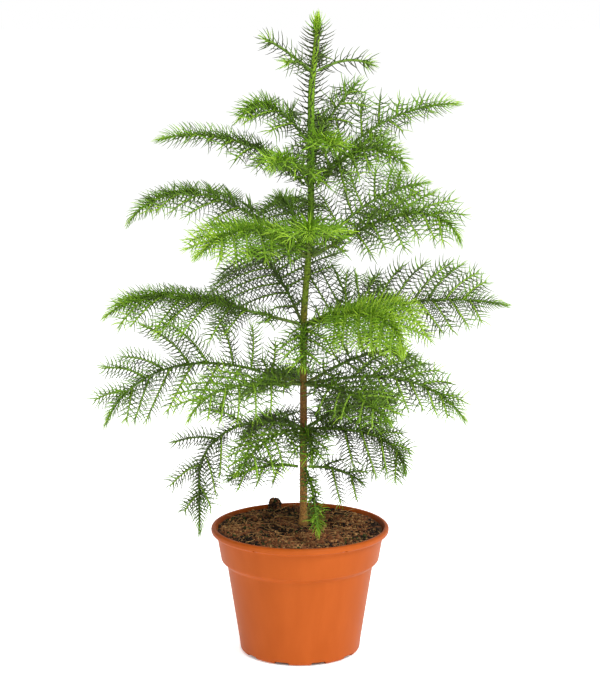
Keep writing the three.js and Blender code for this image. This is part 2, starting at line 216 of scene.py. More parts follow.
def softNoise(points, size, seed):
    # smooth value noise from -1 to 1, on a lattice of the given size
    p = np.asarray(points, float) / size
    cell = np.floor(p).astype(np.int64)
    f = p - cell
    f = f * f * (3 - 2 * f)
    total = np.zeros(len(p))
    for corner in range(8):
        step = np.array([corner & 1, (corner >> 1) & 1, (corner >> 2) & 1])
        c = cell + step
        h = np.sin(c[:, 0] * 127.1 + c[:, 1] * 311.7 + c[:, 2] * 74.7 + seed * 53.3) * hashScale
        weight = np.prod(np.where(step, f, 1 - f), axis=1)
        total += weight * (2 * (h - np.floor(h)) - 1)
    return total


def ringFaces(rings, sides):
    # the quads between rings of points
    i = np.arange(rings - 1)[:, None] * sides
    j = np.arange(sides)[None, :]
    k = (j + 1) % sides
    return np.stack([i + j, i + k, i + sides + k, i + sides + j], -1).reshape(-1, 4)


def fan(centre, first, sides, flip=False):
    # triangles from a centre point to the ring that starts at first
    j = np.arange(sides)
    k = (j + 1) % sides
    a, b = (k, j) if flip else (j, k)
    return np.stack([np.full(sides, centre), first + a, first + b], -1)


def tube(path, across, up, radii, sides):
    # rings of points along a path, and the quads between them
    turn = circle(sides)
    ring = np.cos(turn)[None, :, None] * across[:, None, :] + np.sin(turn)[None, :, None] * up[:, None, :]
    points = path[:, None, :] + ring * radii[:, None, None]
    return points.reshape(-1, 3), ringFaces(len(path), sides)


def closeTube(points, faces, sides):
    # splits a tube's quads and closes both its ends with a fan
    count = len(points)
    last = count - sides
    ends = np.vstack([points[:sides].mean(axis=0), points[last:].mean(axis=0)])
    fans = [fan(count, 0, sides, True), fan(count + 1, last, sides)]
    return np.vstack([points, ends]), np.vstack([faces[:, [0, 1, 2]], faces[:, [0, 2, 3]]] + fans)


# pot: a thin moulded shell with a rolled lip, a stacking step and a notched foot ring

potShape = {
    "height": 125, "rimRadius": 87.5, "segments": 160,
    "mouthRadius": 83.2, "mouthRound": 1.0, "mouthWider": 0.5, "mouthBand": 2,
    "collarTop": 81.8, "collarBottom": 77.9, "collarHeight": 25.5, "stepHeight": 7,
    "bodyTop": 71.9, "baseRadius": 59.2, "edgeRound": 3.5, "edgeProud": 0.3,
    "lipHeight": 6.5, "lipRound": 2.6, "lipFillet": 3.0,
    "wall": 1.5, "floor": 2.0, "floorRing": 30, "underRings": (20, 40),
    "heelRound": 1.5, "heelHeight": 12, "heelWider": 1,
    "feet": 10, "notchAngle": 14, "notchHeight": 3.0, "notchDepth": 10, "notchPast": 2,
    "nicks": 6, "nickWidth": 3.0, "nickHeight": 3.2, "nickDepth": 6.0, "nickInset": 0.6,
}
lipBottom = potShape["height"] - potShape["lipHeight"]
stepTop = lipBottom - potShape["collarHeight"]
stepBottom = stepTop - potShape["stepHeight"]


def arc(centre, radius, start, end, count):
    a = np.radians(np.linspace(start, end, count))
    return [(centre[0] + radius * math.cos(t), centre[1] + radius * math.sin(t)) for t in a]


def stepCurve(offset):
    # the stacking step from the body up to the collar, moved inwards by the offset
    return [
        (blend(potShape["bodyTop"], potShape["collarBottom"], float(ease(s, 0, 1))) - offset,
         blend(stepBottom, stepTop, float(s)))
        for s in np.linspace(0, 1, 12)
    ]


def potProfile():
    # radius and height, from the middle of the underside over the lip to the middle of the floor
    p = potShape
    rim, height, lip, fillet = p["rimRadius"], p["height"], p["lipRound"], p["lipFillet"]
    base, edge, collar, inner = p["baseRadius"], p["edgeRound"], p["collarTop"], p["wall"]
    mouth, heel, floor = p["mouthRound"], p["heelRound"], p["floor"]
    profile = [(0, 0)] + [(r, 0) for r in p["underRings"]]
    profile += arc((base - edge + p["edgeProud"], edge), edge, -90, 0, 8)
    for s in np.linspace(0.1, 0.9, 9):
        profile.append((blend(base, p["bodyTop"], s), blend(edge, stepBottom, s)))
    profile += stepCurve(0)
    for s in (0.3, 0.7, 1.0):
        profile.append((blend(p["collarBottom"], collar, s), blend(stepTop, lipBottom - fillet, s)))
    profile += arc((collar + fillet, lipBottom - fillet), fillet, 180, 90, 7)[1:]
    profile += arc((rim - lip, lipBottom + lip), lip, -90, 0, 7)
    profile += arc((rim - lip, height - lip), lip, 0, 90, 7)
    profile += arc((p["mouthRadius"] + mouth, height - mouth), mouth, 90, 180, 6)
    profile.append((collar - inner + p["mouthWider"], lipBottom + p["mouthBand"]))
    profile.append((collar - inner, lipBottom - p["mouthBand"]))
    profile += stepCurve(inner)[::-1]
    profile += [(base + p["heelWider"] - inner, p["heelHeight"]), (base - inner, floor + heel)]
    profile += [(base - inner - heel, floor), (p["floorRing"], floor), (0, floor)]
    return np.array(profile)


def makePot(material):
    p = potShape
    profile = potProfile() * mm
    count = p["segments"]
    turn = circle(count)
    r, z = profile[1:-1, :1], profile[1:-1, 1:]
    rings = np.stack([r * np.cos(turn), r * np.sin(turn), np.repeat(z, count, 1)], -1).reshape(-1, 3)
    points = np.vstack([rings, [[0, 0, profile[0, 1]], [0, 0, profile[-1, 1]]]])
    middle = len(rings)
    caps = np.vstack([fan(middle, 0, count, True), fan(middle + 1, middle - count, count)])
    piece = turnedPiece("pot_shell", points, ringFaces(len(r), count), caps, material)
    sizes = {
        "Notch radius": p["baseRadius"] - p["notchDepth"] / 2 + p["notchPast"], "Notch level": 0,
        "Notch depth": p["notchDepth"], "Notch height": 2 * p["notchHeight"],
        "Notch width": 2 * p["baseRadius"] * math.sin(math.radians(p["notchAngle"] / 2)),
        "Nick radius": p["rimRadius"] - p["nickInset"], "Nick level": lipBottom,
        "Nick depth": p["nickDepth"], "Nick height": p["nickHeight"], "Nick width": p["nickWidth"],
    }
    values = {label: size * mm for label, size in sizes.items()}
    values.update({"Notch count": p["feet"], "Nick count": p["nicks"], "Material": material})
    return bakeNodes(piece, ringCutTree(sizes), values)


def ringCutTree(sizes):
    # cuts a ring of drain notches between the feet and a ring of small vent nicks under the lip
    inputs = [("Notch count", "NodeSocketInt"), ("Nick count", "NodeSocketInt")]
    inputs += [(label, "NodeSocketFloat") for label in sizes]
    tree, given, result = newNodeTree("ringCuts", inputs + [("Material", "NodeSocketMaterial")])
    out = given.outputs
    cut = addNode(tree, "GeometryNodeMeshBoolean", {"operation": "DIFFERENCE"}, {"Mesh 1": out["Geometry"]})
    for kind in ("Notch", "Nick"):
        count = out[kind + " count"]
        line = addNode(tree, "GeometryNodeMeshLine", {"mode": "OFFSET", "Offset": (0, 0, 0)}, {
            "Count": count})
        index = addNode(tree, "GeometryNodeInputIndex")
        half = addNode(tree, "ShaderNodeMath", {"operation": "ADD", 1: 0.5}, {0: index.outputs[0]})
        share = addNode(tree, "ShaderNodeMath", {"operation": "DIVIDE"}, {0: half.outputs[0], 1: count})
        turn = addNode(tree, "ShaderNodeMath", {
            "operation": "MULTIPLY_ADD", 1: 2 * math.pi, 2: -math.pi / 2}, {0: share.outputs[0]})
        spin = addNode(tree, "ShaderNodeCombineXYZ", links={"Z": turn.outputs[0]})
        size = addNode(tree, "ShaderNodeCombineXYZ", links={
            "X": out[kind + " depth"], "Y": out[kind + " width"], "Z": out[kind + " height"]})
        box = addNode(tree, "GeometryNodeMeshCube", links={"Size": size.outputs[0]})
        place = addNode(tree, "ShaderNodeCombineXYZ", links={
            "X": out[kind + " radius"], "Z": out[kind + " level"]})
        moved = addNode(tree, "GeometryNodeTransform", links={
            "Geometry": box.outputs["Mesh"], "Translation": place.outputs[0]})
        copies = addNode(tree, "GeometryNodeInstanceOnPoints", links={
            "Points": line.outputs[0], "Instance": moved.outputs[0], "Rotation": spin.outputs[0]})
        real = addNode(tree, "GeometryNodeRealizeInstances", links={"Geometry": copies.outputs[0]})
        tree.links.new(real.outputs[0], cut.inputs["Mesh 2"])
    return endTree(tree, given, result, cut.outputs["Mesh"])


def potPlastic():
    # injection-moulded polypropylene: an even terracotta orange, a soft satin shine and faint flow streaks;
    # the grain is coarser than the real one, so that it shows
    return patterned(
        "moulded polypropylene", {"Roughness": 0.45, "IOR": 1.49, "Specular IOR Level": 0.08},
        {"size": 16, "detail": 4, "uneven": 0.6, "stretch": (1, 1, 0.25),
         "tints": [(0.3, "#A34C17"), (0.7, "#AB521C")]},
        {"size": 1.6, "detail": 2, "strength": 0.08, "depth": 0.2})


pot = makePot(potPlastic())
settle(pot, "pot", "pot")
print("pot", len(pot.data.polygons), "faces")


# soil: moist peat and coir, mounded to the trunk, with crumbs, bark chips and fibres on it

soilShape = {
    "edgeDrop": 3, "mound": 3, "moundStart": -0.3, "seatRadius": 9, "edgeRadius": 81.0,
    "bedRadius": 80.8, "middleRadius": 1.5, "middleDip": 0.5, "rings": 90, "spokes": 260,
    "wallTop": 76.0, "wallBottom": 70.0, "wallGap": 1.9, "underside": 2.6,
    "rough": [(1.3, 14, 3), (0.9, 5, 8), (0.5, 2.2, 5)],  # height, size and seed of each kind of lump
    "smoothNear": 6, "smoothTo": 16, "calmFrom": 76, "calm": 0.6, "sunk": 0.6,
    "clodRadius": 6.8, "clodLift": 6, "clodTop": 5, "clodAzimuth": 111, "clodDistance": 72,
    "clodRough": 0.15, "clodLump": 3, "clodSeed": 11,
}
soilEdge = potShape["height"] - soilShape["edgeDrop"]
soilTop = soilEdge + soilShape["mound"]
clodTurn = math.radians(soilShape["clodAzimuth"])
clodCentre = np.array([
    soilShape["clodDistance"] * math.cos(clodTurn), soilShape["clodDistance"] * math.sin(clodTurn),
    soilEdge + soilShape["clodLift"]])


def soilHeight(x, y):
    # height of the soil in millimetres at a spot given in millimetres
    s = soilShape
    r = np.hypot(x, y)
    share = np.clip((s["edgeRadius"] - r) / (s["edgeRadius"] - s["seatRadius"]), 0, 1)
    base = blend(soilEdge, soilTop, ease(share, s["moundStart"], 1))
    flat = np.stack([x, y, np.zeros_like(x)], -1)
    rough = sum(height * softNoise(flat, size, seed) for height, size, seed in s["rough"])
    free = ease(r, s["smoothNear"], s["smoothTo"])  # smooth round the trunk
    calm = np.where(r < s["calmFrom"], 1.0, s["calm"])  # and calmer by the pot's wall
    away = np.hypot(x - clodCentre[0], y - clodCentre[1])
    clod = (s["clodLift"] + s["clodTop"]) * np.sqrt(np.clip(1 - (away / s["clodRadius"]) ** 2, 0, 1))
    clod = clod * (1 + s["clodRough"] * softNoise(flat, s["clodLump"], s["clodSeed"]))
    return base + rough * free * calm - s["sunk"] * free + clod


def peat():
    # moist peat and coir: near-black crumbs with rust and straw flecks, no shine
    return patterned(
        "moist peat", {"Roughness": 0.95, "Specular IOR Level": 0.2},
        {"size": 9, "detail": 6, "uneven": 0.7,
         "tints": [(0.32, "#281A11"), (0.5, "#463020"), (0.72, "#7A5438")]},
        {"size": 1.2, "detail": 4, "strength": 0.7, "depth": 0.6})


def mottled(name, hexText, spread, size, roughness):
    # one colour that wanders a little darker and lighter over the given size, as living or earthy matter does
    return patterned(
        name, {"Roughness": roughness, "Specular IOR Level": 0.25},
        {"size": size, "detail": 3, "uneven": 0.5,
         "tints": [(0.3, hexText, 1 - spread), (0.7, hexText, 1 + spread)]})


def makeSoil():
    s = soilShape
    rings, spokes = s["rings"], s["spokes"]
    r = np.linspace(s["middleRadius"], s["bedRadius"], rings)
    a = circle(spokes)
    x = (r[:, None] * np.cos(a)).ravel()
    y = (r[:, None] * np.sin(a)).ravel()
    points = [np.stack([x, y, soilHeight(x, y)], -1)]
    wall = [(s["wallTop"], stepTop), (s["wallBottom"], stepBottom)]
    wall.append((potShape["baseRadius"] - s["wallGap"], s["underside"]))
    points += [np.stack([w * np.cos(a), w * np.sin(a), np.full(spokes, h)], -1) for w, h in wall]
    points.append([[0, 0, soilTop - s["middleDip"]], [0, 0, s["underside"]]])
    count = rings + len(wall)
    middle = count * spokes
    quads = ringFaces(count, spokes)[:, [0, 3, 2, 1]]
    caps = np.vstack([fan(middle, 0, spokes), fan(middle + 1, middle - spokes, spokes, True)])
    return turnedPiece("soil_bed", np.vstack(points) * mm, quads, caps, peat())


soil = makeSoil()
settle(soil, "soil", "soil")


def scatterTree():
    # copies a small shape to every point of a cloud, turned and sized by the cloud's own attributes
    tree, given, result = newNodeTree("scatter", [
        ("Shape", "NodeSocketObject"), ("Material", "NodeSocketMaterial")])
    shape = addNode(tree, "GeometryNodeObjectInfo", links={"Object": given.outputs["Shape"]})
    aim, bend, size = [
        addNode(tree, "GeometryNodeInputNamedAttribute", {"data_type": "FLOAT_VECTOR", "Name": label})
        for label in ("aim", "bend", "size")
    ]
    turn = addNode(tree, "FunctionNodeAxesToRotation", {"primary_axis": "Z", "secondary_axis": "X"}, {
        0: aim.outputs["Attribute"], 1: bend.outputs["Attribute"]})
    copies = addNode(tree, "GeometryNodeInstanceOnPoints", links={
        "Points": given.outputs["Geometry"], "Instance": shape.outputs["Geometry"],
        "Rotation": turn.outputs[0], "Scale": size.outputs["Attribute"]})
    return endTree(tree, given, result, copies.outputs[0])


scatter = scatterTree()


def scatterPiece(name, shape, points, aim, bend, size, material):
    # points and sizes in millimetres
    mesh = bpy.data.meshes.new(name)
    mesh.vertices.add(len(points))
    mesh.vertices.foreach_set("co", np.asarray(points * mm, np.float32).ravel())
    rows = {"aim": aim, "bend": bend, "size": size * mm}
    for label, values in rows.items():
        layer = mesh.attributes.new(label, "FLOAT_VECTOR", "POINT")
        layer.data.foreach_set("vector", np.asarray(values, np.float32).ravel())
    piece = bakeNodes(linkPiece(name, mesh), scatter, {"Shape": shape, "Material": material})
    for label in [a.name for a in piece.data.attributes if a.name in rows]:
        piece.data.attributes.remove(piece.data.attributes[label])
    return piece


crumbMix = {
    "count": 9400, "reach": 78, "lift": 0.3, "seed": 40, "finish": (0.3, 3, 0.95),
    "least": 0.45, "coarser": 0.8, "lumpPower": 8, "uneven": (0.5, 1.2),
    "patch": 15, "patchSeed": 31, "overlap": 0.22,
    "moss": 22, "mossSeed": 21, "mossLean": 0.004, "mossFrom": -0.05,
    "heap": 150, "heapDepth": (0.75, 1), "heapSquash": [1, 1, 0.95],
    "kinds": [("peat crumb", "#21160E", 0.55), ("coir crumb", "#7E4E2E", 0.4),
              ("bark crumb", "#AC8050", 0.13), ("moss crumb", "#37401C", 0.13)],
}
chipMix = {
    "count": 150, "reach": 76, "lift": 0.6, "seed": 60, "finish": (0.3, 3, 0.9), "tilt": 0.35,
    "sizes": [(3, 7), (2, 4), (3, 5)], "kinds": [("bark chip", "#8E5E3A"), ("dark bark chip", "#43281A")],
}
fibreMix = {
    "count": 600, "reach": 72, "lift": 0.8, "seed": 70, "finish": (0.25, 4, 0.8),
    "rise": (0.02, 0.09), "roll": 0.3, "long": (6, 22), "thick": (8, 17),
    "curl": 0.16, "curlTurn": 2.6, "steps": 6, "radius": 0.02, "sides": 3,
    "kinds": [("straw fibre", "#B88C58"), ("coir fibre", "#875432")],
}


def soilCloud(mix, count, kind):
    # spots strewn evenly over the soil, each kind from its own seed, but none in the inner tenth of its reach
    rng = np.random.default_rng(mix["seed"] + kind)
    r = mix["reach"] * np.sqrt(rng.uniform(0.01, 1, count))
    a = rng.uniform(0, 2 * math.pi, count)
    x, y = r * np.cos(a), r * np.sin(a)
    return rng, np.stack([x, y, soilHeight(x, y)], -1)


def strew(mix, label, hexText, shape, spots, aim, bend, size):
    material = mottled(label, hexText, *mix["finish"])
    name = label.replace(" ", "_")
    settle(scatterPiece(name, shape, spots + [0, 0, mix["lift"]], aim, bend, size, material), "soil")


def strewCrumbs(shape):
    m = crumbMix
    for kind, (label, hexText, share) in enumerate(m["kinds"]):
        rng, spots = soilCloud(m, int(m["count"] * share), kind)
        if label == "moss crumb":  # moss lies in patches, mostly behind on the left
            moss = softNoise(spots * [1, 1, 0], m["moss"], m["mossSeed"])
            spots = spots[moss - m["mossLean"] * (spots[:, 0] - spots[:, 1]) > m["mossFrom"]]
        if kind < 2:  # dark peat and brown coir lie in patches of their own, and both heap up in the clod
            patch = softNoise(spots * [1, 1, 0], m["patch"], m["patchSeed"])
            spots = spots[patch > -m["overlap"]] if kind == 0 else spots[patch < m["overlap"]]
            around = unit(rng.normal(size=(m["heap"], 3))) * m["heapSquash"] * soilShape["clodRadius"]
            spots = np.vstack([spots, clodCentre + around * rng.uniform(*m["heapDepth"], (m["heap"], 1))])
        n = len(spots)
        aim = unit(rng.normal(size=(n, 3)))
        bend = unit(rng.normal(size=(n, 3)))
        coarse = rng.uniform(0, 1, n)
        grain = m["least"] + m["coarser"] * coarse + coarse ** m["lumpPower"]
        strew(m, label, hexText, shape, spots, aim, bend, grain[:, None] * rng.uniform(*m["uneven"], (n, 3)))


def strewChips(shape):
    m = chipMix
    for kind, (label, hexText) in enumerate(m["kinds"]):
        rng, spots = soilCloud(m, m["count"] // 2, kind)
        n = len(spots)
        aim = unit(np.stack([rng.normal(0, m["tilt"], n), rng.normal(0, m["tilt"], n), np.ones(n)], -1))
        bend = unit(rng.normal(size=(n, 3)))
        size = np.stack([rng.uniform(*span, n) for span in m["sizes"]], -1)
        strew(m, label, hexText, shape, spots, aim, bend, size)


def strewFibres(shape):
    m = fibreMix
    for kind, (label, hexText) in enumerate(m["kinds"]):
        rng, spots = soilCloud(m, m["count"] // 2, kind)
        n = len(spots)
        a = rng.uniform(0, 2 * math.pi, n)
        aim = unit(np.stack([np.cos(a), np.sin(a), rng.normal(*m["rise"], n)], -1))
        bend = unit(np.stack([-np.sin(a), np.cos(a), rng.normal(0, m["roll"], n)], -1))
        long = rng.uniform(*m["long"], n)
        thick = rng.uniform(*m["thick"], n)
        strew(m, label, hexText, shape, spots, aim, bend, np.stack([long, thick, long], -1))


def makeCrumb():
    # a twenty-sided grain, about one unit in radius
    g = (1 + math.sqrt(5)) / 2
    points = np.array([
        (-1, g, 0), (1, g, 0), (-1, -g, 0), (1, -g, 0), (0, -1, g), (0, 1, g),
        (0, -1, -g), (0, 1, -g), (g, 0, -1), (g, 0, 1), (-g, 0, -1), (-g, 0, 1)]) / 1.9
    faces = [
        (0, 11, 5), (0, 5, 1), (0, 1, 7), (0, 7, 10), (0, 10, 11),
        (1, 5, 9), (5, 11, 4), (11, 10, 2), (10, 7, 6), (7, 1, 8),
        (3, 9, 4), (3, 4, 2), (3, 2, 6), (3, 6, 8), (3, 8, 9),
        (4, 9, 5), (2, 4, 11), (6, 2, 10), (8, 6, 7), (9, 8, 1)]
    return templatePiece("crumb_shape", points, faces, False)


def makeChip():
    # a flat, uneven flake, one unit long
    points = np.array([
        (-1, -0.5, -0.12), (0.8, -0.55, -0.1), (1, 0.4, -0.12), (-0.7, 0.55, -0.1),
        (-0.9, -0.4, 0.14), (0.75, -0.45, 0.1), (0.9, 0.3, 0.16), (-0.6, 0.45, 0.12)]) / 2
    faces = [(0, 3, 2, 1), (4, 5, 6, 7), (0, 1, 5, 4), (1, 2, 6, 5), (2, 3, 7, 6), (3, 0, 4, 7)]
    return templatePiece("chip_shape", points, faces, False)


def makeFibre():
    # a slim hair that curls to one side, one unit long
    m = fibreMix
    steps, sides = m["steps"], m["sides"]
    t = np.linspace(0, 1, steps)
    path = np.stack([m["curl"] * np.sin(t * m["curlTurn"]), np.zeros(steps), t], -1)
    across = np.tile([0.0, 1.0, 0.0], (steps, 1))
    ahead = unit(np.gradient(path, axis=0))
    points, faces = tube(path, across, np.cross(ahead, across), np.full(steps, m["radius"]), sides)
    return templatePiece("fibre_shape", *closeTube(points, faces, sides), True)


crumb, chip, fibre = makeCrumb(), makeChip(), makeFibre()
strewCrumbs(crumb)
strewChips(chip)
strewFibres(fibre)
print("soil with its crumbs, chips and fibres")


# trunk: one tapering stem with a slow bend, scarred brown at the foot and green above

trunkShape = {
    "tip": 616, "footRadius": 5.2, "flare": 14, "lowRadius": 3.7, "highRadius": 3.1, "tipRadius": 2,
    "taperStart": 430, "taperPower": 1.4, "footOffset": 3.4,
    "bendOffset": 7.2, "bendFrom": 315, "bendTo": 440, "tipOffset": 6, "tipFrom": 540,
    "tipRing": 0.3, "rings": 620, "sides": 28, "cushion": 0.7, "clear": 0.3,
}
barkShape = {
    "scarRows": 6, "scarRise": 1.5, "crossRows": 5, "crossRise": 1.2, "wrap": 4,
    "crack": 1.6, "crackSeed": 17, "seam": 3.4, "seamSeed": 23, "seamShare": 0.6, "seamStretch": [1, 1, 0.5],
    "scarDepth": 0.55, "crackDepth": 0.6, "boughRelief": 0.1, "boughFiner": 2.0,
    "lowRelief": 0.34, "highRelief": 0.12, "smoothFrom": 250, "smoothTo": 420,
}
trunkFoot = soilTop + trunkShape["clear"]


def trunkCentre(z):
    t = trunkShape
    z = np.asarray(z, float)
    x = t["footOffset"] + t["bendOffset"] * ease(z, t["bendFrom"], t["bendTo"])
    x = x + t["tipOffset"] * ease(z, t["tipFrom"], t["tip"])
    return np.stack([x, np.zeros_like(z), z], -1)


def trunkRadius(z):
    t = trunkShape
    spread = t["footRadius"] - t["lowRadius"]
    flare = spread * (1 - ease(z, trunkFoot, trunkFoot + t["flare"]))
    low = blend(t["lowRadius"], t["highRadius"], ease(z, trunkFoot, t["taperStart"]))
    narrowing = np.maximum(0, (z - t["taperStart"]) / (t["tip"] - t["taperStart"]))
    return blend(low, t["tipRadius"], narrowing ** t["taperPower"]) + flare


def barkRelief(path, turn, strength):
    # needle scars in a spiral, with fine cracks between them
    b = barkShape
    z = path[:, None, 2]
    wrap = b["scarRows"] * turn[None, :] + z * b["scarRise"]
    scars = np.cos(wrap) * np.cos(b["crossRows"] * turn[None, :] - z * b["crossRise"])
    columns = (np.cos(turn) * b["wrap"], np.sin(turn) * b["wrap"], z)
    spots = np.stack([np.broadcast_to(column, scars.shape) for column in columns], -1).reshape(-1, 3)
    crack = softNoise(spots, b["crack"], b["crackSeed"])
    crack = crack + b["seamShare"] * softNoise(spots * b["seamStretch"], b["seam"], b["seamSeed"])
    return strength[:, None] * (b["scarDepth"] * scars + b["crackDepth"] * crack.reshape(scars.shape))


def greenBark():
    # living bark of a young stem: cork brown at the foot, rusty above it and leaf green towards the leader
    material, tree, shader = newMaterial("young bark", {"Roughness": 0.62, "Specular IOR Level": 0.15})
    place = addNode(tree, "ShaderNodeTexCoord").outputs["Object"]
    split = addNode(tree, "ShaderNodeSeparateXYZ", links={"Vector": place})
    blotch = addNode(tree, "ShaderNodeTexNoise", {
        "Scale": 1 / (12 * mm), "Detail": 5, "Roughness": 0.65}, {"Vector": place})
    # the blotches shift the colours by up to 80 mm up or down the stem
    sway = addNode(tree, "ShaderNodeMath", {
        "operation": "MULTIPLY_ADD", 1: 0.16, 2: -0.08}, {0: blotch.outputs["Fac"]})
    level = addNode(tree, "ShaderNodeMath", {"operation": "ADD"}, {0: split.outputs["Z"], 1: sway.outputs[0]})
    share = addNode(tree, "ShaderNodeMapRange", {"From Min": 0.12, "From Max": 0.62}, {
        "Value": level.outputs[0]})
    tints = [(0.0, "#A5783F"), (0.12, "#A0713A"), (0.24, "#80552C"), (0.36, "#6F6620"),
             (0.5, "#64781C"), (0.75, "#5F8A1E"), (1.0, "#86AA2A")]
    colour = addNode(tree, "ShaderNodeValToRGB", {"stops": tints}, {"Fac": share.outputs[0]})
    fleck = addNode(tree, "ShaderNodeTexNoise", {"Scale": 1 / (1.5 * mm), "Detail": 3}, {"Vector": place})
    dark = addNode(tree, "ShaderNodeMapRange", {
        "From Min": 0.35, "From Max": 0.65, "To Min": 0.45, "To Max": 1.25}, {"Value": fleck.outputs["Fac"]})
    mixed = addNode(tree, "ShaderNodeVectorMath", {"operation": "SCALE"}, {
        0: colour.outputs["Color"], "Scale": dark.outputs[0]})
    tree.links.new(mixed.outputs[0], shader.inputs["Base Color"])
    return material


def makeTrunk(material):
    t, b = trunkShape, barkShape
    sides = t["sides"]
    z = np.linspace(trunkFoot, t["tip"], t["rings"])
    path = trunkCentre(z)
    # the leaf bases swell the leader
    radii = trunkRadius(z) + t["cushion"] * ease(z, t["taperStart"], t["tipFrom"])
    across = np.tile([1.0, 0, 0], (len(z), 1))
    up = np.tile([0, 1.0, 0], (len(z), 1))
    turn = circle(sides)
    strength = blend(b["lowRelief"], b["highRelief"], ease(z, b["smoothFrom"], b["smoothTo"]))
    points, faces = tube(path, across, up, radii, sides)
    ring = np.stack([np.cos(turn), np.sin(turn), np.zeros_like(turn)], -1)
    points = points.reshape(len(z), sides, 3) + barkRelief(path, turn, strength)[..., None] * ring[None]
    points[-1] = path[-1] + t["tipRing"] * ring
    points = points.reshape(-1, 3)
    points[:sides, 2] = trunkFoot
    points, faces = closeTube(points, faces, sides)
    return meshPiece("trunk_bark", points * mm, faces, material)


trunk = makeTrunk(greenBark())
settle(trunk, "bark", "trunk")
print("trunk", len(trunk.data.polygons), "faces")


# fronds: tiers from the lowest up; each frond's row gives the values named here, in degrees and millimetres,
# with the azimuth from +X, twig as a share of the frond's length and lower as a share on the side turned down

frondValues = ("azimuth", "length", "rise", "droop", "gather", "roll", "twig", "lower")
tiers = [
    {"height": 184, "pairs": 3, "bough": 0, "taper": 0.5, "taperFrom": 0.45, "fronds": [
        [344, 62, 6, 50, 1.4, 30, 0.5, 1.3], [190, 74, 14, 48, 1, -20, 0.36, 1],
        [281, 88, -2, 70, 1, 0, 0.12, 1]]},
    {"height": 223, "pairs": 4, "bough": 0, "taper": 0.62, "taperFrom": 0.4, "fronds": [
        [336, 122, 4, 104, 3, 26, 0.34, 1.4], [42, 124, 16, 32, 1.5, 20, 0.37, 1],
        [122, 116, 4, 46, 1.5, -16, 0.36, 1], [194, 185, 17, 200, 1.6, -40, 0.3, 0.84],
        [236, 114, 6, 46, 1.4, -6, 0.38, 1], [278, 66, 6, 58, 1.3, 0, 0.42, 1]]},
    {"height": 267, "pairs": 6, "bough": 0.16, "taper": 0.55, "taperFrom": 0.45, "fronds": [
        [351, 168, 12, 72, 1.9, 30, 0.3, 0.74], [44, 176, 16, 56, 2, 30, 0.33, 0.9],
        [106, 160, 2, 44, 1.6, -8, 0.34, 1], [168, 228, 17, 89, 1.7, -58, 0.32, 0.84],
        [216, 140, 8, 74, 3, -20, 0.37, 0.9], [305, 138, 6, 40, 2, 16, 0.34, 0.8]]},
    {"height": 326, "pairs": 7, "bough": 0.16, "taper": 0.6, "taperFrom": 0.45, "fronds": [
        [2, 196, 14, 28, 2, 62, 0.28, 0.8], [54, 164, 7, 16, 2, 44, 0.42, 0.7],
        [111, 178, 34, 46, 1.6, -16, 0.48, 0.9], [190, 196, 16, 62, 3.6, -8, 0.29, 1.15],
        [270, 70, -6, 56, 1.4, 0, 0.44, 1], [316, 144, 18, 118, 3.2, 20, 0.38, 0.9]]},
    {"height": 392, "pairs": 6, "bough": 0.18, "taper": 0.55, "taperFrom": 0.45, "fronds": [
        [338, 170, 30, 112, 3.4, 32, 0.29, 0.9], [34, 158, 42, 44, 1.4, 36, 0.33, 0.9],
        [104, 150, 34, 60, 2, -8, 0.28, 1], [164, 208, 38, 100, 2.1, -10, 0.22, 0.9],
        [228, 162, 40, 76, 1.1, -16, 0.32, 0.9], [270, 122, 46, 76, 1.4, 0, 0.36, 1]]},
    {"height": 458, "pairs": 5, "bough": 0, "taper": 0.8, "taperFrom": 0.2, "fronds": [
        [12, 168, 56, 58, 1.1, 60, 0.32, 0.8], [84, 136, 44, 56, 2, 0, 0.28, 1],
        [178, 158, 48, 66, 1.1, -8, 0.27, 1], [250, 116, 38, 66, 1.6, -10, 0.46, 1],
        [325, 122, 46, 100, 1.8, 26, 0.6, 1]]},
    {"height": 502, "pairs": 4, "bough": 0, "taper": 0.6, "taperFrom": 0.45, "fronds": [
        [32, 76, 54, 14, 1.2, 10, 0.4, 1], [158, 85, 50, 112, 2.2, -10, 0.42, 1],
        [288, 72, 14, 34, 1.2, 0, 0.37, 1]]},
    {"height": 568, "pairs": 0, "bough": 0, "taper": 0, "taperFrom": 0, "fronds": [
        [4, 57, 28, 62, 1.6, 0, 0, 1], [80, 52, 30, 40, 1.6, 0, 0, 1],
        [166, 56, 42, 22, 1.6, 0, 0, 1], [240, 50, 26, 44, 1.6, 0, 0, 1]]},
]
